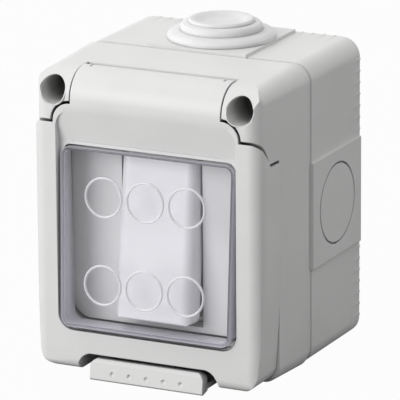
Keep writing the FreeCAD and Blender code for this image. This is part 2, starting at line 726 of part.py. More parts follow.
def ear_sweep():
    """Space that the right ear's rounded inner corner takes up about the hinge while the lid turns."""
    r = SHOULDER_R + EAR_GAP
    cx = FLAP_HALF_W + 0.25
    x0 = FLAP_HALF_W + 0.05
    pts = [(x0, 0.0), (x0, reach(SHOULDER_Z + r))]
    steps = 6
    for i in range(1, steps + 1):
        a = math.pi / 2.0 * i / steps
        z = max(SHOULDER_Z + r * math.cos(a), SHOULDER_Z + 0.4)
        pts.append((cx + r * math.sin(a), reach(z)))
    pts.append((pts[-1][0], 0.0))
    y = at(HINGE_DEPTH)
    wire = Part.makePolygon([V(x, y, HINGE_Z - d) for x, d in pts + pts[:1]])
    return Part.Face(wire).revolve(V(0, y, HINGE_Z), V(1, 0, 0), 360)


def notch(grow):
    """Notch in the lid's lower edge around the latch, or the same form with a wall added."""
    low = LID_BOTTOM_Z - 3.0
    a = NOTCH_HALF_TOP + grow * 0.7
    b = NOTCH_HALF_LOW + grow
    zt = NOTCH_TOP + grow
    zk = NOTCH_KNEE_Z + grow * 0.4
    mid = ((a + b) / 2.0 + NOTCH_BULGE, (zt + zk) / 2.0 + NOTCH_BULGE, 1)
    pts = [(-a, zt), (a, zt), mid, (b, zk), (b, low), (-b, low), (-b, zk), (-mid[0], mid[1], 1)]
    return front_profile(pts, at(-2), at(LEDGE_DEPTH + 1))


def lid_catch():
    """Tooth under the notch's wall that the latch's hook stands in front of."""
    return box(-CATCH_HALF_W, CATCH_HALF_W, at(CATCH_DEPTH), at(CATCH_DEPTH + CATCH_T),
               NOTCH_TOP - CATCH_DROP, NOTCH_TOP + NOTCH_WALL / 2.0)


def make_membrane():
    """Clear soft window: a shallow tray with a flange behind it and six press domes."""
    y_face = at(WINDOW_FACE_DEPTH)
    e = WINDOW_EDGE
    front = rounded_wire(WINDOW_HALF_W - e, WINDOW_BOTTOM + e, WINDOW_TOP - e, WINDOW_CORNER_R - e, y_face)
    rim = rounded_wire(WINDOW_HALF_W, WINDOW_BOTTOM, WINDOW_TOP, WINDOW_CORNER_R, y_face + e)
    tray = Part.makeLoft([front, rim], True, True)
    tray = tray.fuse(rounded_prism(WINDOW_HALF_W, WINDOW_BOTTOM, WINDOW_TOP, WINDOW_CORNER_R,
                                   y_face + e, at(FLANGE_DEPTH + 1.2)))
    s = WINDOW_SKIN
    hollow = rounded_prism(WINDOW_HALF_W - s, WINDOW_BOTTOM + s, WINDOW_TOP - s, WINDOW_CORNER_R - s,
                           y_face + s, at(FLANGE_DEPTH + 4))
    sphere_r = (DOME_R * DOME_R + DOME_H * DOME_H) / (2.0 * DOME_H)
    mid = (WINDOW_TOP + WINDOW_BOTTOM) / 2.0
    for i in (-1, 0, 1):
        for k in (-0.5, 0.5):
            x = i * DOME_PITCH_X
            z = mid + k * DOME_PITCH_Z
            ball = Part.makeSphere(sphere_r, V(x, y_face - DOME_H + sphere_r, z))
            cap = ball.common(rod_y(DOME_R, y_face - DOME_H - 0.1, y_face + s, x, z))
            tray = tray.fuse(cap)
    tray = tray.cut(hollow)
    tray = window_tilted(tray)
    lip = FLANGE_LIP
    y0 = at(FLANGE_DEPTH)
    flange = rounded_prism(WINDOW_HALF_W + lip, WINDOW_BOTTOM - 0.5, WINDOW_TOP + lip, WINDOW_CORNER_R + 0.7,
                           y0, y0 + FLANGE_T)
    open_ = rounded_prism(WINDOW_HALF_W - s, WINDOW_BOTTOM + s, WINDOW_TOP - s, WINDOW_CORNER_R - s,
                          at(0), y0 + 9)
    trim = box(-BOX_W, BOX_W, y0 + FLANGE_T, y0 + 9, -BOX_H, BOX_H)
    return tray.fuse(flange.cut(open_)).cut(trim)


# Latch

def latch_housing():
    """Wall around the latch's recess, inside the cover, which keeps the recess closed."""
    w = LATCH_HALF_W + LATCH_GAP + LATCH_CHEEK
    top = LATCH_PIN_Z + LATCH_BARREL_R + LATCH_GAP + LATCH_ROOF
    return box(-w, w, at(LEDGE_DEPTH + 0.5), at(LATCH_PIN_DEPTH) + LATCH_TAIL + LATCH_GAP + LATCH_ROOF,
               -BOX_H / 2.0 - 1.0, top)


def latch_room():
    """Recess in the cover's lower edge for the latch arm, its barrel and its tail."""
    g = LATCH_GAP
    w = LATCH_HALF_W + g
    y_pin = at(LATCH_PIN_DEPTH)
    slot = box(-w, w, at(LEDGE_DEPTH - 1), y_pin, -BOX_H, ARM_TOP + g + 0.8)
    barrel = rod_x(LATCH_BARREL_R + g, -w, w, y_pin, LATCH_PIN_Z)
    tail = box(-w, w, y_pin, y_pin + LATCH_TAIL + g, -BOX_H, LATCH_PIN_Z + g + 0.6)
    pin = rod_x(LATCH_PIN_R, -w - LATCH_PIN_SEAT, w + LATCH_PIN_SEAT, y_pin, LATCH_PIN_Z)
    return slot.fuse([barrel, tail, pin])


def make_latch():
    w = LATCH_HALF_W
    y_pin = at(LATCH_PIN_DEPTH)
    tab = side_profile([(at(-0.4), LATCH_TOP - 0.7), (at(0.3), LATCH_TOP), (at(LATCH_T - 0.6), LATCH_TOP),
                        (at(LATCH_T), LATCH_TOP - 0.6), (at(LATCH_T), ARM_BOTTOM - 0.4),
                        (at(-0.2), LATCH_BOTTOM), (at(-0.7), LATCH_BOTTOM), (at(-1.0), LATCH_BOTTOM + 0.4)],
                       -w, w)
    outline = front_profile([(-w, LATCH_BOTTOM - 1), (w, LATCH_BOTTOM - 1), (w, LATCH_TOP - 2.0),
                             (w - 0.6, LATCH_TOP - 0.6, 1), (w - 2.0, LATCH_TOP), (-w + 2.0, LATCH_TOP),
                             (-w + 0.6, LATCH_TOP - 0.6, 1), (-w, LATCH_TOP - 2.0)], at(-3), at(LATCH_T + 1))
    tab = tab.common(outline)
    arm = box(-w, w, at(LATCH_T - 0.5), y_pin, ARM_BOTTOM, ARM_TOP)
    barrel = rod_x(LATCH_BARREL_R, -w, w, y_pin, LATCH_PIN_Z)
    tail = box(-w * 0.4, w * 0.4, y_pin, y_pin + LATCH_TAIL, LATCH_PIN_Z - 1.4, LATCH_PIN_Z - 0.1)
    hook_rear = at(CATCH_DEPTH) - CATCH_PLAY
    hook = box(-CATCH_HALF_W, CATCH_HALF_W, hook_rear - CATCH_T, hook_rear,
               ARM_BOTTOM + 0.5, NOTCH_TOP - CATCH_DROP - LATCH_GAP)
    body = tab.fuse([arm, barrel, tail, hook])
    body = body.cut(rod_x(LATCH_PIN_R + PIN_CLEARANCE, -w - 1, w + 1, y_pin, LATCH_PIN_Z))
    for i in range(-2, 3):
        cone = Part.makeCone(DIMPLE_R, DIMPLE_R / 3.0, DIMPLE_DEPTH, V(i * DIMPLE_PITCH, at(-0.9), DIMPLE_Z),
                             V(0, 1, 0))
        body = body.cut(cone)
    return body


def make_latch_pin():
    w = LATCH_HALF_W + LATCH_GAP + LATCH_PIN_SEAT - 0.1
    return rod_x(LATCH_PIN_R, -w, w, at(LATCH_PIN_DEPTH), LATCH_PIN_Z)


# Switch mechanism

def frame_screw_places():
    return [(sx * FRAME_SCREW_X, KEY_Z + sz * FRAME_SCREW_Z) for sx in (-1, 1) for sz in (-1, 1)]


def make_mounting_frame():
    z0 = KEY_Z - FRAME_H / 2.0
    z1 = KEY_Z + FRAME_H / 2.0
    plate = rounded_prism(FRAME_W / 2.0, z0, z1, 3.0, at(FRAME_DEPTH), at(FRAME_DEPTH + FRAME_T))
    hole = box(-HOUSING_W / 2.0 - 0.2, HOUSING_W / 2.0 + 0.2, at(FRAME_DEPTH - 1), at(FRAME_DEPTH + FRAME_T + 1),
               KEY_Z - HOUSING_H / 2.0 - 0.2, KEY_Z + HOUSING_H / 2.0 + 0.2)
    plate = plate.cut(hole)
    for x, z in frame_screw_places():
        plate = plate.cut(rod_y(1.4, at(FRAME_DEPTH - 1), at(FRAME_DEPTH + FRAME_T + 1), x, z))
    return plate


def make_frame_screws():
    out = []
    for x, z in frame_screw_places():
        y = at(FRAME_DEPTH + FRAME_T)
        shank = rod_y(1.05, at(FRAME_DEPTH) - 3.2, y + 0.1, x, z)
        head = rod_y(2.2, y, y + 1.4, x, z)
        out.append(shank.fuse(head).cut(box(x - 0.3, x + 0.3, y + 0.9, y + 2, z - 1.7, z + 1.7)))
    return Part.makeCompound(out)


def key_tilted(shape):
    return turned(shape, -KEY_TILT, at(KEY_AXIS_DEPTH), KEY_Z)


def key_profile():
    """Front view of the key: wide, with rounded corners."""
    w = KEY_W / 2.0
    return rounded_prism(w, KEY_Z - KEY_H / 2.0, KEY_Z + KEY_H / 2.0, 2.2, at(KEY_FACE_DEPTH - 1), at(KEY_RIM_DEPTH))


def make_key():
    w = KEY_W / 2.0
    h = KEY_H / 2.0
    r = KEY_EDGE_R
    k = r * math.sqrt(0.5)
    y0 = at(KEY_FACE_DEPTH)
    y1 = at(KEY_RIM_DEPTH)
    z0 = KEY_Z - h
    z1 = KEY_Z + h
    body = key_profile()
    # both long edges well rounded, the face almost flat
    edges = [Part.makeLine(V(-w + r, y0, z0), V(w - r, y0, z0)),
             Part.Arc(V(w - r, y0, z0), V(w - r + k, y0 + r - k, z0), V(w, y0 + r, z0)).toShape(),
             Part.makeLine(V(w, y0 + r, z0), V(w, y1, z0)), Part.makeLine(V(w, y1, z0), V(-w, y1, z0)),
             Part.makeLine(V(-w, y1, z0), V(-w, y0 + r, z0)),
             Part.Arc(V(-w, y0 + r, z0), V(-w + r - k, y0 + r - k, z0), V(-w + r, y0, z0)).toShape()]
    body = body.common(Part.Face(Part.Wire(edges)).extrude(V(0, 0, KEY_H)))
    e = 1.0
    body = body.common(side_profile([(y0, z0 + e), (y0, z1 - e), (y0 + e * 0.3, z1 - e * 0.3, 1), (y0 + e, z1),
                                     (y1, z1), (y1, z0), (y0 + e, z0), (y0 + e * 0.3, z0 + e * 0.3, 1)], -w, w))
    s = KEY_WALL
    body = body.cut(rounded_prism(w - s, z0 + s, z1 - s, 1.5, y0 + s + 0.6, y1 + 1))
    axis_y = at(KEY_AXIS_DEPTH)
    for side in (-1, 1):
        x0, x1 = sorted((side * LUG_X, side * (LUG_X + LUG_T)))
        lug = box(x0, x1, y0 + s, axis_y, KEY_Z - LUG_R, KEY_Z + LUG_R)
        lug = lug.fuse(rod_x(LUG_R, x0, x1, axis_y, KEY_Z))
        t0, t1 = sorted((side * (LUG_X + LUG_T - 0.2), side * (LUG_X + LUG_T + TRUNNION_LENGTH)))
        body = body.fuse([lug, rod_x(TRUNNION_R, t0, t1, axis_y, KEY_Z)])
    stem = rod_y(STEM_R, y0 + s, at(STEM_END_DEPTH), 0, KEY_Z)
    body = body.fuse(stem)
    body = body.cut(rod_y(STEM_BORE_R, y0 + s + 2.0, at(STEM_END_DEPTH + 1), 0, KEY_Z))
    return key_tilted(body)


def make_plunger():
    y1 = at(PLUNGER_TIP_DEPTH)
    y0 = y1 - PLUNGER_LENGTH
    body = rod_y(PLUNGER_R, y0, y1 - PLUNGER_R, 0, KEY_Z)
    body = body.fuse(Part.makeSphere(PLUNGER_R, V(0, y1 - PLUNGER_R, KEY_Z)))
    return key_tilted(body)


def make_plunger_spring():
    """Compression spring in the key's stem, behind the plunger."""
    y0 = at(KEY_FACE_DEPTH) + KEY_WALL + 2.05
    y1 = at(PLUNGER_TIP_DEPTH) - PLUNGER_LENGTH - 0.05
    wire_r = 0.2
    coil_r = STEM_BORE_R - wire_r - 0.1
    turns = 5
    length = y1 - y0 - 2 * wire_r
    helix = Part.makeHelix(length / turns, length, coil_r)
    a = coil_r - wire_r
    b = coil_r + wire_r
    ring = Part.makePolygon([V(a, 0, -wire_r), V(b, 0, -wire_r), V(b, 0, wire_r), V(a, 0, wire_r), V(a, 0, -wire_r)])
    coil = Part.Wire(helix).makePipeShell([ring], True, True)
    coil.rotate(V(0, 0, 0), V(1, 0, 0), -90)
    coil.translate(V(0, y0 + wire_r, KEY_Z))
    return key_tilted(coil)


def make_housing_top():
    """Front half of the mechanism's housing, with the posts that carry the key."""
    w = HOUSING_W / 2.0
    h = HOUSING_H / 2.0
    y0 = at(DECK_DEPTH)
    y1 = at(HOUSING_SPLIT_DEPTH)
    body = rounded_prism(w, KEY_Z - h, KEY_Z + h, 1.0, y0, y1)
    yf = at(FRAME_DEPTH + FRAME_T)
    flange = rounded_prism(HOUSING_FLANGE_W / 2.0, KEY_Z - HOUSING_FLANGE_H / 2.0, KEY_Z + HOUSING_FLANGE_H / 2.0,
                           1.5, yf, yf + HOUSING_FLANGE_T)
    body = body.fuse(flange)
    body = body.cut(box(-POCKET_HALF_W, POCKET_HALF_W, y0 - 1, y1 + 1, KEY_Z - POCKET_HALF_H, KEY_Z + POCKET_HALF_H))
    axis_y = at(KEY_AXIS_DEPTH)
    x0 = LUG_X + LUG_T + POST_GAP
    for side in (-1, 1):
        a, b = sorted((side * x0, side * (x0 + POST_T)))
        post = box(a, b, axis_y, y0 + 3.0, KEY_Z - 3.0, KEY_Z + 3.0)
        post = post.fuse(rod_x(2.4, a, b, axis_y, KEY_Z))
        body = body.fuse(post)
    for side in (-1, 1):
        a, b = sorted((side * (x0 - 1), side * (LUG_X + LUG_T + TRUNNION_LENGTH + 0.2)))
        body = body.cut(rod_x(TRUNNION_R + PIN_CLEARANCE, a, b, axis_y, KEY_Z))
    return body


def make_housing_base():
    """Rear half of the housing: a cup for the contacts, with two terminal chambers behind."""
    w = HOUSING_W / 2.0
    h = HOUSING_H / 2.0
    y0 = at(HOUSING_SPLIT_DEPTH)
    y1 = at(HOUSING_BACK_DEPTH)
    body = rounded_prism(w, KEY_Z - h, KEY_Z + h, 1.0, y0, y1)
    body = body.cut(box(-POCKET_HALF_W, POCKET_HALF_W, y0 - 1, at(27.0), KEY_Z - POCKET_HALF_H, KEY_Z + POCKET_HALF_H))
    for s in (-1, 1):
        z = KEY_Z + s * 15.5
        body = body.cut(box(-4.2, 4.2, at(28.5), y1 + 1, z - 4.2, z + 4.2))
        a, b = sorted((KEY_Z + s * 6.0, z))
        body = body.cut(box(-2.6, 2.6, at(26.0), at(29.0), a, b))
    return body


def contact_turned(shape):
    return turned(shape, CONTACT_TILT, at(CONTACT_AXIS_DEPTH), KEY_Z)


def make_moving_contact():
    """Tilting contact bridge on its own cross pin."""
    y = at(CONTACT_AXIS_DEPTH)
    half = CONTACT_LENGTH / 2.0
    plate = box(-CONTACT_W / 2.0, CONTACT_W / 2.0, y - CONTACT_T / 2.0, y + CONTACT_T / 2.0, KEY_Z - half, KEY_Z + half)
    pin = rod_x(CONTACT_PIN_R, -3.9, 3.9, y, KEY_Z)
    button = rod_y(1.3, y, y + 0.9, 0, KEY_Z - half + 1.6)
    return contact_turned(plate.fuse([pin, button]))


def make_common_contact():
    """Fork that carries the bridge's pin, with a strip to the upper terminal."""
    y = at(CONTACT_AXIS_DEPTH)
    y_strip = at(26.0)
    body = box(-3.8, 3.8, y_strip, y_strip + 0.8, KEY_Z - 1.5, KEY_Z + 1.5)
    for s in (-1, 1):
        a, b = sorted((s * 2.9, s * 3.8))
        cheek = box(a, b, y, y_strip + 0.8, KEY_Z - 1.5, KEY_Z + 1.5).fuse(rod_x(1.5, a, b, y, KEY_Z))
        body = body.fuse(cheek)
    body = body.cut(rod_x(CONTACT_PIN_R + PIN_CLEARANCE, -5, 5, y, KEY_Z))
    body = body.fuse(box(-2.0, 2.0, y_strip, y_strip + 0.8, KEY_Z, KEY_Z + 14.5))
    body = body.fuse(box(-2.0, 2.0, y_strip, at(31.0), KEY_Z + 13.7, KEY_Z + 14.5))
    return body


def make_fixed_contact():
    """Fixed contact under the bridge's lower end, with a strip to the lower terminal."""
    y_strip = at(26.0)
    half = CONTACT_LENGTH / 2.0
    z = KEY_Z - half + 1.6
    drop = (half - 1.6) * math.sin(math.radians(CONTACT_TILT))
    y_top = at(CONTACT_AXIS_DEPTH) + 0.9 + drop + CONTACT_GAP
    body = rod_y(1.3, y_top, y_strip + 0.5, 0, z)
    body = body.fuse(box(-2.0, 2.0, y_strip, y_strip + 0.8, KEY_Z - 14.5, KEY_Z - 3.6))
    body = body.fuse(box(-2.0, 2.0, y_strip, at(31.0), KEY_Z - 14.5, KEY_Z - 13.7))
    return body


def make_terminal_clamps():
    out = []
    for s in (-1, 1):
        z = KEY_Z + s * 15.5
        cage = box(-3.6, 3.6, at(30.0), at(35.0), z - 3.7, z + 3.7)
        cage = cage.cut(box(-2.4, 2.4, at(29.0), at(33.2), z - 4.0, z + 4.0))
        cage = cage.cut(rod_y(1.5, at(32.0), at(36.0), 0, z))
        out.append(cage)
    return Part.makeCompound(out)


def make_terminal_screws():
    out = []
    for s in (-1, 1):
        z = KEY_Z + s * 15.5
        shank = rod_y(1.45, at(32.0), at(35.1), 0, z)
        head = rod_y(2.4, at(35.0), at(36.4), 0, z)
        out.append(shank.fuse(head).cut(box(-0.35, 0.35, at(35.8), at(37.0), z - 2.0, z + 2.0)))
    return Part.makeCompound(out)


def export(name, shape):
    shape = shape.removeSplitter() if shape.ShapeType != "Compound" else shape
    shape.exportStep("parts/%s.step" % name)


def main():
    os.makedirs("parts", exist_ok=True)
    export("rear_box", make_rear_box())
    export("box_seal", make_box_seal())
    export("cable_grommet", make_grommet())
    export("front_cover", make_front_cover())
    export("lid_seal", make_lid_seal())
    export("cover_screws", make_cover_screws())
    export("lid", make_lid())
    export("window_membrane", make_membrane())
    export("latch", make_latch())
    export("latch_pin", make_latch_pin())
    export("mounting_frame", make_mounting_frame())
    export("frame_screws", make_frame_screws())
    export("rocker_key", make_key())
    export("plunger", make_plunger())
    export("plunger_spring", make_plunger_spring())
    export("switch_housing_top", make_housing_top())
    export("switch_housing_base", make_housing_base())
    export("moving_contact", make_moving_contact())
    export("common_contact", make_common_contact())
    export("fixed_contact", make_fixed_contact())
    export("terminal_clamps", make_terminal_clamps())
    export("terminal_screws", make_terminal_screws())


main()
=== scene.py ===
# Looks of the outdoor weatherproof switch: satin grey shell, clear window, white key, pale
# cable seal, a pale floor, soft light and the camera. Metres, in the part's own frame.
import math

import bmesh
import bpy
import numpy as np
from mathutils import Matrix, Vector
from mathutils.bvhtree import BVHTree

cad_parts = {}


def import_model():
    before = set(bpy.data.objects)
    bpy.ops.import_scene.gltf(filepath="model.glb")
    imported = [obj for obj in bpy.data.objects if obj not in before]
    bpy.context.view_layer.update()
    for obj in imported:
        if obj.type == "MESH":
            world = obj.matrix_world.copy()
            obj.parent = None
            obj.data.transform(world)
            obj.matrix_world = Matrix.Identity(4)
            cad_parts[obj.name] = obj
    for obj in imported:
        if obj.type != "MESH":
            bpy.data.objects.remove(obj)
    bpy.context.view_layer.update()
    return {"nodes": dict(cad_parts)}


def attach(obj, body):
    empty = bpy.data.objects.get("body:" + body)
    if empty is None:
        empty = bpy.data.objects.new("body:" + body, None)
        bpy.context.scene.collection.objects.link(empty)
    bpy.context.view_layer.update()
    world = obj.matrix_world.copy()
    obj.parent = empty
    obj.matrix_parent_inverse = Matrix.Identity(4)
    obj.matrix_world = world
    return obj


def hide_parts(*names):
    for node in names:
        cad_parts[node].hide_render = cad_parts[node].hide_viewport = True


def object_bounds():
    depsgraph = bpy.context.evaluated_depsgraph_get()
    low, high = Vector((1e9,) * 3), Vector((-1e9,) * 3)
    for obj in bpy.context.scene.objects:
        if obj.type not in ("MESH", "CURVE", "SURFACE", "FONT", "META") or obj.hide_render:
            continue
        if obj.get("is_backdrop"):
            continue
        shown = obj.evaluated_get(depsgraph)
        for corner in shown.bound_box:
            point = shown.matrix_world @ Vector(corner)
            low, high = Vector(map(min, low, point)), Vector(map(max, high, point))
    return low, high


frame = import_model()

MM = 0.001

# Camera
VIEW_AZIMUTH = 26.18
VIEW_ELEVATION = 15.96
VIEW_ROLL = -0.43
VIEW_TARGET = Vector((5.92, -41.7, 4.07)) * MM
VIEW_DISTANCE = 1197.8 * MM
VIEW_LENS = 411.7
SENSOR_WIDTH = 36.0
NEAR_CLIP = 0.01

# Light and floor
BACKGROUND = 0.98
SKY_DIRECTION = Vector((-0.44, 0.34, 0.36)).normalized()
SKY_LEVEL = 0.70
SKY_SLOPE = 0.53
KEY_DIRECTION = Vector((-0.50, -0.82, 0.28)).normalized()
KEY_DISTANCE = 0.9
KEY_SIZE = 0.6
KEY_POWER = 4.6
FLOOR_GLOW = 1.0
FLOOR_SHADOW = 0.03
FLOOR_SIZE = 1.6
FLOOR_ALBEDO = 0.3

# Window: a shallow clear tray, proud of the front plane, whose face leans back at its top
FRONT_Y = -61.7 * MM
TRAY_HALF_W = 24.75 * MM
TRAY_TAPER = 0.25 * MM
TRAY_TOP = 20.3 * MM
TRAY_BOTTOM = -28.2 * MM
TRAY_MIDDLE = (TRAY_TOP + TRAY_BOTTOM) / 2.0
TRAY_CORNER = 2.6 * MM
LEAST_CORNER = 0.3 * MM
TRAY_FACE = -0.8 * MM
TRAY_EDGE = 0.65 * MM
TRAY_BACK = 4.4 * MM
TRAY_LIP = 1.6 * MM
TRAY_SKIN = 0.8 * MM
WINDOW_TILT = math.radians(2.9)
CORNER_STEPS = 10
EDGE_STEPS = 5

# Press marks on the window's face
MARK_PITCH_X = 12.0 * MM
MARK_PITCH_Z = 23.5 * MM
MARK_RADIUS = 5.2 * MM
MARK_RIM = 0.33 * MM
MARK_STEPS = 96
RIM_STEPS = 12

# Lintel over the window, which carries the lid's sloping recess down to the tray
LINTEL_DEPTH = 2.1 * MM
LINTEL_BACK = 4.3 * MM
LINTEL_GAP = 0.25 * MM
LINTEL_HALF_W = 25.3 * MM
LINTEL_TOP = 21.8 * MM
LINTEL_FOOT = 14.0 * MM

# Walls of the two upper screw wells
WELL_X = 26.9 * MM
WELL_Z = 34.8 * MM
WELL_RADIUS = 3.6 * MM
WELL_WALL = 0.35 * MM
WELL_DEPTH = 14.0 * MM
WELL_STEPS = 72
EAR_REACH = 5.0 * MM

# Smooth shading between a CAD node's sharp edges
MERGE_DISTANCE = 1e-6
SMOOTH_ANGLE = math.radians(32.0)
EVEN_WEIGHT = 80

# Moulded plastic: flow mottling, specks, a fine grain and softened edges
MOTTLE_GRAIN = 14.0 * MM
SPECK_GRAIN = 0.5 * MM
SPECK_SHARE = 0.3
TONE_LOW = 0.975
TONE_HIGH = 1.02
TEXTURE_DEPTH = 0.02 * MM
MOULDED_EDGE = 0.35 * MM
PLASTIC_IOR = 1.46

# Painted shade in the joints, gaps and wells of the shell: its colour darkens where occlusion is high
CREVICE_REACH = 9.0 * MM
CREVICE_DARK = 0.05
CREVICE_UNSHADED = 0.32
PAINTED_SHADE_TONE = 0.02

# Rubber: a bloom, a fine grain, and shade painted into its folds
BLOOM_GRAIN = 3.5 * MM
RUBBER_GRAIN = 0.35 * MM
RUBBER_EDGE = 0.3 * MM
RUBBER_IOR = 1.5
FOLD_REACH = 1.5 * MM
FOLD_DARK = 0.45
FOLD_UNSHADED = 0.82
FOLD_SHADE = 0.35

# Metal: stains and brushed lines
STAIN_GRAIN = 2.0 * MM
STAIN_SHADE = 0.82
BRUSH_GRAIN = 0.4 * MM
BRUSH_DEPTH = 0.01 * MM
METAL_EDGE = 0.1 * MM

# Clear plastic: where the facing of its surface makes it a wall, a face or a rounded edge
WALL_FACING = 0.35
FACE_FACING = 0.9
EDGE_FAINT = 0.14
EDGE_FULL = 0.24
EDGE_ACROSS = 0.6
EDGE_UPWARD = 0.8
EDGE_FADE = 0.4
# Painted shade: the dark see-through colour of the rounded edges that face right and up
EDGE_PAINTED_SHADE = (0.22, 0.21, 0.27)
SIDE_SHADE = 0.6
GLOSS_SHARE = 0.7
RIPPLE_GRAIN = 9.0 * MM
RIPPLE_DEPTH = 0.3 * MM
CLEAR_ROUGHNESS = 0.14
CLEAR_IOR = 1.5
GLANCE_IOR = 1.4


class Wire:
    """A shader value that can be used in plain arithmetic."""

    def __init__(self, kit, socket):
        self.kit = kit
        self.socket = socket

    def _math(self, operation, a, b):
        return self.kit.node("ShaderNodeMath", {"operation": operation}, {0: a, 1: b})

    def __add__(self, other):
        return self._math("ADD", self, other)

    def __radd__(self, other):
        return self._math("ADD", other, self)

    def __rsub__(self, other):
        return self._math("SUBTRACT", other, self)

    def __mul__(self, other):
        return self._math("MULTIPLY", self, other)

    def __rmul__(self, other):
        return self._math("MULTIPLY", other, self)


class Kit:
    """Builds the nodes of one material, or of the world."""

    def __init__(self, name, store=None):
        store = bpy.data.materials if store is None else store
        self.material = store.new(name)
        self.material.use_nodes = True
        self.tree = self.material.node_tree
        self.tree.nodes.clear()

    def node(self, kind, settings=None, inputs=None, output=0):
        return Wire(self, add_node(self.tree, kind, settings, inputs).outputs[output])

    def place(self):
        return self.node("ShaderNodeTexCoord", output="Object")

    def ray(self, kind):
        return self.node("ShaderNodeLightPath", output=kind)

    def noise(self, grain, detail=3.0, roughness=0.5, place=None):
        """Noise with a grain size in metres."""
        return self.node("ShaderNodeTexNoise", None,
                         {"Vector": place or self.place(), "Scale": 1.0 / grain, "Detail": detail,
                          "Roughness": roughness}, "Fac")

    def blend(self, mask, low, high):
        """A colour between two, by a mask."""
        return self.node("ShaderNodeMix", {"data_type": "RGBA"}, {0: mask, 6: low, 7: high}, 2)

    def mix(self, mask, first, second):
        """A shader between two, by a mask."""
        return self.node("ShaderNodeMixShader", None, {0: mask, 1: first, 2: second})

    def range(self, value, low, high, to_low=0.0, to_high=1.0):
        return self.node("ShaderNodeMapRange", None,
                         {"Value": value, "From Min": low, "From Max": high, "To Min": to_low,
                          "To Max": to_high})

    def rounded(self, radius):
        """Normals that soften the sharp edges of a moulding."""
        return self.node("ShaderNodeBevel", {"samples": 6}, {"Radius": radius})

    def crevice_shade(self, reach, dark, unshaded):
        """Mask for painted shade: falls to nought deep in narrow joints, wells and folds, where shade falls.
        """
        openness = self.node("ShaderNodeAmbientOcclusion", {"samples": 8}, {"Distance": reach}, "AO")
        return self.range(openness, dark, unshaded)

    def bump(self, height, distance, strength, normal):
        return self.node("ShaderNodeBump", None,
                         {"Height": height, "Distance": distance, "Strength": strength, "Normal": normal})

    def finish(self, shader, output="ShaderNodeOutputMaterial"):
        add_node(self.tree, output, None, {"Surface": shader})
        return self.material


def add_node(tree, kind, settings=None, inputs=None):
    """Adds a node to a tree: its settings first, then the values or links of its sockets."""
    made = tree.nodes.new(kind)
    for key, value in (settings or {}).items():
        setattr(made, key, value)
    for key, value in (inputs or {}).items():
        value = value.socket if isinstance(value, Wire) else value
        if isinstance(value, bpy.types.NodeSocket):
            tree.links.new(value, made.inputs[key])
        else:
            made.inputs[key].default_value = value
    return made


def colour(value):
    """A colour with full alpha, from a grey or from three values."""
    if isinstance(value, (int, float)):
        value = (value, value, value)
    return (*value, 1.0)


def moulded_plastic(name, tone, warm, rough, grain, coat=0.0, shade_painted=False):
    """Satin moulded plastic: a fine spark grain, faint flow mottling and softened edges."""
    kit = Kit(name)
    mottle = kit.noise(MOTTLE_GRAIN, 2.0)
    speck = kit.noise(SPECK_GRAIN, 2.0, 0.6)
    tint = (tone, tone * warm[0], tone * warm[1])
    low = [c * TONE_LOW for c in tint]
    high = [min(c * TONE_HIGH, 1.0) for c in tint]
    mask = kit.range(mottle * (1.0 - SPECK_SHARE) + speck * SPECK_SHARE, 0.35, 0.65)
    base = kit.blend(mask, colour(low), colour(high))
    if shade_painted:
        # Painted shade: the colour turns near black deep in joints, gaps and wells, where shade falls
        unshaded = kit.crevice_shade(CREVICE_REACH, CREVICE_DARK, CREVICE_UNSHADED)
        base = kit.blend(unshaded, colour(PAINTED_SHADE_TONE), base)
    texture = kit.noise(grain, 4.0, 0.65)
    normal = kit.bump(texture, TEXTURE_DEPTH, 0.35, kit.rounded(MOULDED_EDGE))
    roughness = kit.range(mottle + speck * 0.4, 0.5, 0.9, rough - 0.04, rough + 0.05)
    shader = kit.node("ShaderNodeBsdfPrincipled", None,
                      {"Base Color": base, "Roughness": roughness, "Normal": normal, "IOR": PLASTIC_IOR,
                       "Coat Weight": coat})
    return kit.finish(shader)


def soft_rubber(name, low, high, rough):
    """Matt rubber with a fine bloom, and shade painted into its folds."""
    kit = Kit(name)
    bloom = kit.noise(BLOOM_GRAIN, 4.0)
    base = kit.blend(kit.range(bloom, 0.3, 0.7), colour(low), colour(high))
    # Painted shade: the colour darkens deep in folds and under steps, where shade falls
    unshaded = kit.crevice_shade(FOLD_REACH, FOLD_DARK, FOLD_UNSHADED)
    base = kit.blend(unshaded, colour(low * FOLD_SHADE), base)
    normal = kit.bump(kit.noise(RUBBER_GRAIN), TEXTURE_DEPTH, 0.4, kit.rounded(RUBBER_EDGE))
    roughness = kit.range(bloom, 0.2, 0.8, rough, rough + 0.12)
    shader = kit.node("ShaderNodeBsdfPrincipled", None,
                      {"Base Color": base, "Roughness": roughness, "Normal": normal, "IOR": RUBBER_IOR})
    return kit.finish(shader)


def bare_metal(name, tint, rough, brush):
    """Plated or stamped metal with fine brushing and faint stains."""
    kit = Kit(name)
    stain = kit.range(kit.noise(STAIN_GRAIN), 0.3, 0.7)
    drawn = kit.node("ShaderNodeMapping", None, {"Vector": kit.place(), "Scale": (1.0, 1.0, brush)})
    lines = kit.noise(BRUSH_GRAIN, 2.0, place=drawn)
    base = kit.blend(stain, colour([c * STAIN_SHADE for c in tint]), colour(tint))
    normal = kit.bump(lines, BRUSH_DEPTH, 0.3, kit.rounded(METAL_EDGE))
    shader = kit.node("ShaderNodeBsdfPrincipled", None,
                      {"Base Color": base, "Metallic": 1.0, "Normal": normal,
                       "Roughness": kit.range(stain, 0.0, 1.0, rough, rough + 0.15)})
    return kit.finish(shader)


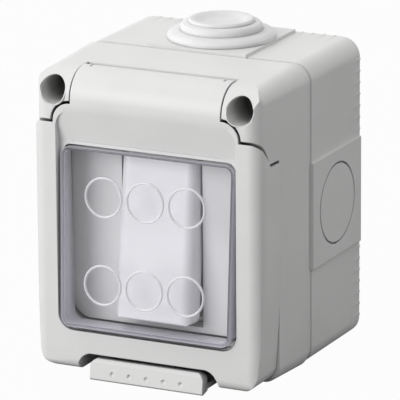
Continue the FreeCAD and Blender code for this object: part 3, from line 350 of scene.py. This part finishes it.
def clear_window(name, tint, side_tint, haze, side_haze, body):
    """Clear flexible window: faintly lilac, denser at its side walls, with painted shade on its rounded
    edges that face right and up; light passes its face alone.
    """
    kit = Kit(name)
    across, facing, upward = (kit.node("ShaderNodeSeparateXYZ", None,
                                       {0: kit.node("ShaderNodeTexCoord", output="Normal")}, axis)
                              for axis in ("X", "Y", "Z"))
    flat = facing * facing
    side = 1.0 - kit.range(flat, WALL_FACING, FACE_FACING)
    # Painted shade: rounded edges that face right and up see through a dark tint
    turned = kit.range(across * EDGE_ACROSS + upward * EDGE_UPWARD, 0.0, EDGE_FADE)
    edge = kit.range(flat * (1.0 - flat), EDGE_FAINT, EDGE_FULL) * turned
    face, wall, corner = (kit.node("ShaderNodeBsdfTransparent", None, {"Color": colour(shade)})
                          for shade in (tint, side_tint, EDGE_PAINTED_SHADE))
    see_through = kit.mix(edge, kit.mix(side, face, wall), corner)
    normal = kit.bump(kit.noise(RIPPLE_GRAIN, 1.0), RIPPLE_DEPTH, 0.12, kit.rounded(MOULDED_EDGE))
    gloss = kit.node("ShaderNodeBsdfPrincipled", None,
                     {"Base Color": colour(body), "Roughness": CLEAR_ROUGHNESS, "IOR": CLEAR_IOR,
                      "Normal": normal})
    fresnel = kit.node("ShaderNodeFresnel", None, {"IOR": GLANCE_IOR, "Normal": normal})
    lighting = kit.node("ShaderNodeMath", {"operation": "MAXIMUM"},
                        {0: kit.ray("Is Shadow Ray"), 1: kit.ray("Is Diffuse Ray")})
    seen = fresnel * GLOSS_SHARE + side * side_haze + haze
    share = seen * (1.0 - lighting) + side * SIDE_SHADE * lighting
    return kit.finish(kit.mix(share, see_through, gloss))


def new_tree(name, sizes=()):
    """A geometry node tree with named sizes, and the sockets of its group input."""
    tree = bpy.data.node_groups.new(name, "GeometryNodeTree")
    tree.interface.new_socket("Geometry", in_out="INPUT", socket_type="NodeSocketGeometry")
    for size in sizes:
        tree.interface.new_socket(size, in_out="INPUT", socket_type="NodeSocketFloat")
    tree.interface.new_socket("Geometry", in_out="OUTPUT", socket_type="NodeSocketGeometry")
    return tree, tree.nodes.new("NodeGroupInput").outputs


def smooth_finish():
    """Node tree that joins a CAD mesh's loose triangles and shades it smooth between sharp edges."""
    tree, given = new_tree("smooth_finish")
    merge = add_node(tree, "GeometryNodeMergeByDistance", None,
                     {"Geometry": given["Geometry"], "Distance": MERGE_DISTANCE})
    faces = add_node(tree, "GeometryNodeSetShadeSmooth", {"domain": "FACE"},
                     {"Geometry": merge.outputs["Geometry"]})
    angle = add_node(tree, "GeometryNodeInputMeshEdgeAngle")
    compare = add_node(tree, "FunctionNodeCompare", {"operation": "LESS_THAN"},
                       {"A": angle.outputs["Unsigned Angle"], "B": SMOOTH_ANGLE})
    edges = add_node(tree, "GeometryNodeSetShadeSmooth", {"domain": "EDGE"},
                     {"Geometry": faces.outputs["Geometry"], "Shade Smooth": compare.outputs["Result"]})
    add_node(tree, "NodeGroupOutput", None, {"Geometry": edges.outputs["Geometry"]})
    return tree


def smooth(obj):
    """Smooth shading between sharp edges, with flat faces kept flat."""
    obj.modifiers.new("smooth", "NODES").node_group = finish_tree
    even = obj.modifiers.new("even", "WEIGHTED_NORMAL")
    even.keep_sharp = True
    even.weight = EVEN_WEIGHT


def dress(node, material):
    """A CAD node gets its material and smooth shading; its mesh stays as it is."""
    obj = frame["nodes"][node]
    obj.data.materials.clear()
    obj.data.materials.append(material)
    smooth(obj)


def piece(name, mesh, body):
    """A new piece that rides on a body."""
    obj = bpy.data.objects.new(name, mesh)
    bpy.context.scene.collection.objects.link(obj)
    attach(obj, body)
    return obj


def finished_mesh(name, bm, material):
    """The mesh of a bmesh, with its faces pointing outwards."""
    bmesh.ops.recalc_face_normals(bm, faces=bm.faces)
    mesh = bpy.data.meshes.new(name)
    bm.to_mesh(mesh)
    bm.free()
    mesh.materials.append(material)
    return mesh


def bridge(bm, first, second):
    """Faces between two rings of equal length."""
    n = len(first)
    for i in range(n):
        j = (i + 1) % n
        bm.faces.new((first[i], second[i], second[j], first[j]))


def tray_point(x, z, behind):
    """A point of the leaning tray, given a distance behind its face."""
    rise = z - TRAY_MIDDLE
    y = FRONT_Y + TRAY_FACE + behind * math.cos(WINDOW_TILT) + rise * math.sin(WINDOW_TILT)
    return Vector((x, y, TRAY_MIDDLE + rise * math.cos(WINDOW_TILT) - behind * math.sin(WINDOW_TILT)))


def tray_back(z):
    """Distance from the tray's leaning face to the upright plane of its back."""
    lean = (z - TRAY_MIDDLE) * math.sin(WINDOW_TILT)
    return (TRAY_BACK - TRAY_FACE - lean) / math.cos(WINDOW_TILT)


def tray_spread(z):
    """How much wider the tray is at a height than at its middle: its sides part towards the top."""
    half_height = (TRAY_TOP - TRAY_BOTTOM) / 2.0
    return 1.0 + TRAY_TAPER / TRAY_HALF_W * (z - TRAY_MIDDLE) / half_height


def rounded_outline(half_w, low, high, radius):
    """Points round a rounded rectangle, seen from the front, from its right top corner."""
    points = []
    for i, (cx, cz) in enumerate(((half_w - radius, high - radius), (-half_w + radius, high - radius),
                                  (-half_w + radius, low + radius), (half_w - radius, low + radius))):
        for k in range(CORNER_STEPS + 1):
            t = (i + k / CORNER_STEPS) * math.pi / 2.0
            points.append((cx + radius * math.cos(t), cz + radius * math.sin(t)))
    return points


def tray_ring(bm, inset, behind):
    """Vertices round the tray's outline, inset, where behind(z) is the distance from its face."""
    points = rounded_outline(TRAY_HALF_W - inset, TRAY_BOTTOM + inset, TRAY_TOP - inset,
                             max(TRAY_CORNER - inset, LEAST_CORNER))
    return [bm.verts.new(tray_point(x * tray_spread(z), z, behind(z))) for x, z in points]


def window_tray(material):
    """The clear tray: a flat leaning face, rounded edges, walls and a lip behind the lid's front."""
    bm = bmesh.new()
    rings = []
    for step in range(EDGE_STEPS + 1):
        t = step / EDGE_STEPS * math.pi / 2.0
        depth = TRAY_EDGE * (1.0 - math.cos(t))
        rings.append(tray_ring(bm, TRAY_EDGE * (1.0 - math.sin(t)), lambda z: depth))
    rings.append(tray_ring(bm, 0.0, tray_back))
    rings.append(tray_ring(bm, -TRAY_LIP, tray_back))
    bm.faces.new(rings[0])
    for first, second in zip(rings, rings[1:]):
        bridge(bm, first, second)
    mesh = finished_mesh("window_tray", bm, material)
    obj = piece("window_tray", mesh, "lid_body")
    skin = obj.modifiers.new("skin", "SOLIDIFY")
    skin.thickness = TRAY_SKIN
    skin.offset = -1.0
    skin.use_even_offset = True
    smooth(obj)
    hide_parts("window_membrane")


def grown(name, tree, sizes):
    """The plain mesh that a node tree makes from its named sizes."""
    obj = bpy.data.objects.new(name + "_maker", bpy.data.meshes.new(name + "_seed"))
    bpy.context.scene.collection.objects.link(obj)
    maker = obj.modifiers.new("make", "NODES")
    maker.node_group = tree
    sockets = {s.name: s.identifier for s in tree.interface.items_tree if s.in_out == "INPUT"}
    for key, value in sizes.items():
        maker[sockets[key]] = value
    graph = bpy.context.evaluated_depsgraph_get()
    mesh = bpy.data.meshes.new_from_object(obj.evaluated_get(graph))
    mesh.name = name
    bpy.data.objects.remove(obj)
    return mesh


def press_rims(material):
    """Six thin rims round the window's press marks."""
    sizes = {"Radius": MARK_RADIUS, "Rim": MARK_RIM, "Pitch X": MARK_PITCH_X, "Pitch Z": MARK_PITCH_Z}
    tree, given = new_tree("press_rims", sizes)
    circle = add_node(tree, "GeometryNodeCurvePrimitiveCircle", None,
                      {"Resolution": MARK_STEPS, "Radius": given["Radius"]})
    profile = add_node(tree, "GeometryNodeCurvePrimitiveCircle", None,
                       {"Resolution": RIM_STEPS, "Radius": given["Rim"]})
    tube = add_node(tree, "GeometryNodeCurveToMesh", None,
                    {"Curve": circle.outputs["Curve"], "Profile Curve": profile.outputs["Curve"]})
    span = add_node(tree, "ShaderNodeMath", {"operation": "MULTIPLY"}, {0: given["Pitch X"], 1: 2.0})
    grid = add_node(tree, "GeometryNodeMeshGrid", None,
                    {"Vertices X": 3, "Vertices Y": 2, "Size X": span.outputs[0],
                     "Size Y": given["Pitch Z"]})
    copies = add_node(tree, "GeometryNodeInstanceOnPoints", None,
                      {"Points": grid.outputs["Mesh"], "Instance": tube.outputs["Mesh"]})
    realize = add_node(tree, "GeometryNodeRealizeInstances", None,
                       {"Geometry": copies.outputs["Instances"]})
    paint = add_node(tree, "GeometryNodeSetMaterial", None,
                     {"Geometry": realize.outputs["Geometry"], "Material": material})
    add_node(tree, "NodeGroupOutput", None, {"Geometry": paint.outputs["Geometry"]})
    mesh = grown("window_press_rims", tree, sizes)
    lean = Matrix.Rotation(math.pi / 2.0 - WINDOW_TILT, 4, "X")
    mesh.transform(Matrix.Translation(tray_point(0.0, TRAY_MIDDLE, 0.0)) @ lean)
    piece("window_press_rims", mesh, "lid_body")


def lintel(material):
    """The lid's front between its opening and the tray's top corners."""
    bm = bmesh.new()
    inner_half_w = TRAY_HALF_W + TRAY_TAPER + LINTEL_GAP
    arch = rounded_outline(inner_half_w, TRAY_BOTTOM, TRAY_TOP + LINTEL_GAP, TRAY_CORNER + LINTEL_GAP)
    arch = arch[:2 * (CORNER_STEPS + 1)]
    outer = [(-LINTEL_HALF_W, LINTEL_FOOT), (-LINTEL_HALF_W, LINTEL_TOP), (LINTEL_HALF_W, LINTEL_TOP),
             (LINTEL_HALF_W, LINTEL_FOOT)]
    points = [(inner_half_w, LINTEL_FOOT)] + arch + [(-inner_half_w, LINTEL_FOOT)] + outer
    front = [bm.verts.new((x, FRONT_Y + LINTEL_DEPTH, z)) for x, z in points]
    back = [bm.verts.new((x, FRONT_Y + LINTEL_BACK, z)) for x, z in points]
    bm.faces.new(front)
    bm.faces.new(back)
    bridge(bm, front, back)
    mesh = finished_mesh("lid_window_lintel", bm, material)
    smooth(piece("lid_window_lintel", mesh, "lid_body"))


def well_place(side, radius, angle):
    """A place round an upper screw well, seen from the front; side is -1 for the left well."""
    return side * WELL_X + radius * math.cos(angle), WELL_Z + radius * math.sin(angle)


def well_mouth(cover, side, angles):
    """The front of the ear round a well: a smooth wave through the points that rays find on it."""
    waves = np.array([[1.0, math.cos(t), math.sin(t), math.cos(2 * t), math.sin(2 * t)] for t in angles])
    found = {}
    for k, angle in enumerate(angles):
        x, z = well_place(side, WELL_RADIUS + 2.0 * WELL_WALL, angle)
        hit = cover.ray_cast(Vector((x, 2.0 * FRONT_Y, z)), Vector((0.0, 1.0, 0.0)))[0]
        if hit is not None and hit.y < FRONT_Y + EAR_REACH:
            found[k] = hit.y
    shape = np.linalg.lstsq(waves[list(found)], np.array(list(found.values())), rcond=None)[0]
    return waves @ shape


def well_walls(material):
    """Thin walls that close the two upper screw wells, flush with the ears' rounded front."""
    mesh = frame["nodes"]["front_cover"].data
    cover = BVHTree.FromPolygons([v.co for v in mesh.vertices], [f.vertices for f in mesh.polygons])
    angles = [2.0 * math.pi * k / WELL_STEPS for k in range(WELL_STEPS)]
    outer = WELL_RADIUS + WELL_WALL
    bm = bmesh.new()
    for side in (-1.0, 1.0):
        mouth = well_mouth(cover, side, angles)
        rings = []
        for radius, behind in ((outer, 0.0), (WELL_RADIUS, 0.0), (WELL_RADIUS, WELL_DEPTH),
                               (outer, WELL_DEPTH)):
            ring = []
            for angle, front in zip(angles, mouth):
                x, z = well_place(side, radius, angle)
                ring.append(bm.verts.new((x, front + behind, z)))
            rings.append(ring)
        for first, second in zip(rings, rings[1:] + rings[:1]):
            bridge(bm, first, second)
    walls = finished_mesh("cover_well_walls", bm, material)
    smooth(piece("cover_well_walls", walls, "housing"))


def camera():
    """The photograph's viewpoint."""
    az = math.radians(VIEW_AZIMUTH)
    el = math.radians(VIEW_ELEVATION)
    back = Vector((math.sin(az) * math.cos(el), -math.cos(az) * math.cos(el), math.sin(el)))
    right = Vector((math.cos(az), math.sin(az), 0.0))
    up = back.cross(right)
    turn = Matrix((right, up, back)).transposed().to_4x4() @ Matrix.Rotation(math.radians(VIEW_ROLL), 4, "Z")
    data = bpy.data.cameras.new("camera")
    data.lens = VIEW_LENS
    data.sensor_width = SENSOR_WIDTH
    data.clip_start = NEAR_CLIP
    obj = bpy.data.objects.new("camera", data)
    obj.matrix_world = Matrix.Translation(VIEW_TARGET + back * VIEW_DISTANCE) @ turn
    bpy.context.scene.collection.objects.link(obj)
    bpy.context.scene.camera = obj


def key_light():
    """One large soft lamp in front, from the left and a little above."""
    data = bpy.data.lights.new("key", "AREA")
    data.size = KEY_SIZE
    data.energy = KEY_POWER
    obj = bpy.data.objects.new("key", data)
    obj.location = KEY_DIRECTION * KEY_DISTANCE
    obj.rotation_mode = "QUATERNION"
    obj.rotation_quaternion = KEY_DIRECTION.to_track_quat("Z", "Y")
    bpy.context.scene.collection.objects.link(obj)


def world():
    """A soft sky, brighter at the left and behind; the camera, gloss and clear parts see plain white."""
    kit = Kit("world", bpy.data.worlds)
    bpy.context.scene.world = kit.material
    away = kit.node("ShaderNodeTexCoord", output="Generated")
    towards = kit.node("ShaderNodeVectorMath", {"operation": "DOT_PRODUCT"},
                       {0: away, 1: SKY_DIRECTION}, "Value")
    sky = SKY_LEVEL + SKY_SLOPE * towards
    plain = kit.node("ShaderNodeMath", {"operation": "ADD", "use_clamp": True},
                     {0: kit.ray("Is Camera Ray") + kit.ray("Is Transmission Ray"),
                      1: kit.ray("Is Glossy Ray")})
    strength = kit.node("ShaderNodeMix", None, {0: plain, 2: sky, 3: BACKGROUND})
    shade = kit.node("ShaderNodeBackground", None, {"Color": colour(1.0), "Strength": strength})
    kit.finish(shade, "ShaderNodeOutputWorld")


def floor():
    """A pale floor under the lowest point, white to the camera apart from the shadow."""
    half = FLOOR_SIZE / 2.0
    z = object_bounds()[0].z
    mesh = bpy.data.meshes.new("floor")
    corners = [(-half, -half, z), (half, -half, z), (half, half, z), (-half, half, z)]
    mesh.from_pydata(corners, [], [(0, 1, 2, 3)])
    obj = bpy.data.objects.new("floor", mesh)
    bpy.context.scene.collection.objects.link(obj)
    kit = Kit("floor")
    plain = kit.node("ShaderNodeBsdfDiffuse", None, {"Color": colour(FLOOR_ALBEDO)})
    glow = kit.node("ShaderNodeEmission", None, {"Color": colour(1.0), "Strength": FLOOR_GLOW})
    seen = kit.ray("Is Camera Ray") * (1.0 - FLOOR_SHADOW)
    mesh.materials.append(kit.finish(kit.mix(seen, plain, glow)))
    obj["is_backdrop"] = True


finish_tree = smooth_finish()
# The shell's colour carries painted shade in its joints, gaps and wells
shell = moulded_plastic("shell_plastic", 0.72, (0.998, 0.99), 0.42, 0.16 * MM, shade_painted=True)
white = moulded_plastic("key_plastic", 0.81, (0.997, 1.012), 0.22, 0.6 * MM, 0.2)
inner = moulded_plastic("mechanism_plastic", 0.45, (1.0, 1.0), 0.5, 0.3 * MM)
seal = soft_rubber("seal_rubber", 0.03, 0.05, 0.6)
grommet = soft_rubber("grommet_rubber", 0.72, 0.76, 0.5)
steel = bare_metal("plated_steel", (0.62, 0.61, 0.58), 0.28, 0.15)
brass = bare_metal("contact_brass", (0.78, 0.58, 0.28), 0.25, 0.2)
clear = clear_window("clear_window", tint=(0.990, 0.988, 0.997), side_tint=(0.94, 0.93, 0.965),
                     haze=0.01, side_haze=0.30, body=(0.88, 0.87, 0.915))
# The press rims are the edges of the press marks. They are hazier and whiter than the window: a painted
# highlight on those edges
rim_highlight = clear_window("clear_rim_highlight", tint=(0.98, 0.98, 0.99), side_tint=(0.97, 0.97, 0.985),
                   haze=0.45, side_haze=0.30, body=(0.97, 0.97, 0.985))

finishes = {
    "rear_box": shell, "front_cover": shell, "lid": shell, "latch": shell,
    "box_seal": seal, "lid_seal": seal, "cable_grommet": grommet,
    "cover_screws": steel, "latch_pin": steel, "mounting_frame": steel, "frame_screws": steel,
    "plunger_spring": steel, "terminal_screws": steel,
    "rocker_key": white, "plunger": white,
    "switch_housing_top": inner, "switch_housing_base": inner,
    "moving_contact": brass, "common_contact": brass, "fixed_contact": brass, "terminal_clamps": brass,
    "window_membrane": clear,
}
for node, material in finishes.items():
    dress(node, material)

window_tray(clear)
press_rims(rim_highlight)
lintel(shell)
well_walls(shell)
camera()
key_light()
world()
floor()
bpy.context.scene.view_settings.view_transform = "Standard"
